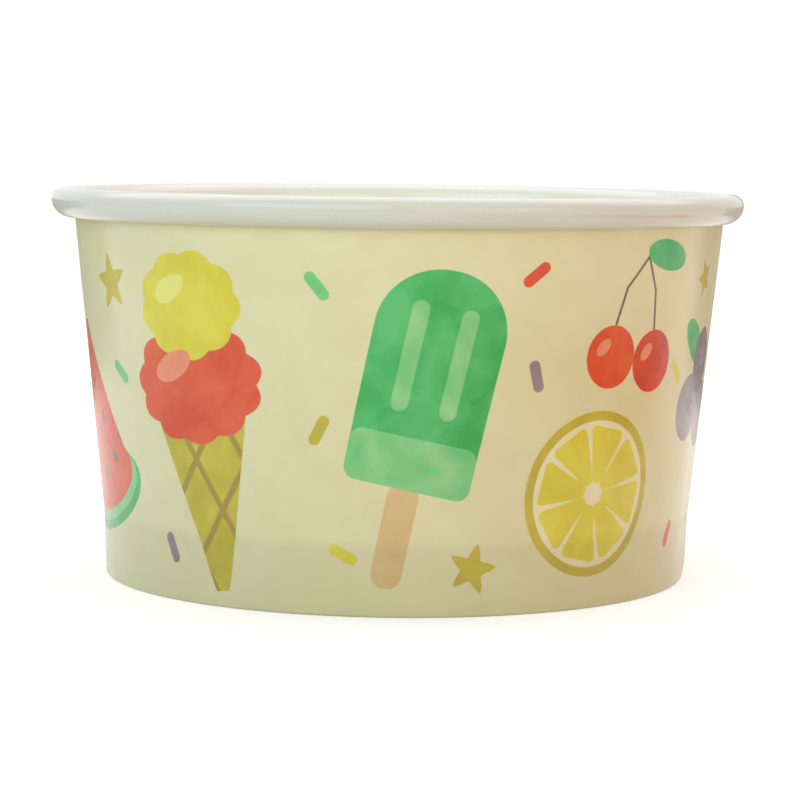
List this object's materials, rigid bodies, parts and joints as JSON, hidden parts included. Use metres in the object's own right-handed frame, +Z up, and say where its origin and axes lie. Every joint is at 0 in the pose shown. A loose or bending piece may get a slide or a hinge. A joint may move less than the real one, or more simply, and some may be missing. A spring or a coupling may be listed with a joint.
{
  "type": "paper treat tub",
  "caption": "Round tapered paperboard tub with a rolled rim, a lapped side seam, a folded foot hem and a recessed base, for serving ice cream or small treats.",
  "frame": {"origin": "middle of the foot ring, on the surface that the tub stands on", "axes": "+Z up the tub's axis towards the open rim, with the lapped seam on the +X side"},
  "size_m": [0.0962, 0.0962, 0.0535],
  "materials": {
    "printed_board": "coated satin",
    "white_board": "coated satin"
  },
  "bodies": {
    "root": {"side_wall": "printed_board", "base_disc": "white_board"}
  },
  "joints": []
}
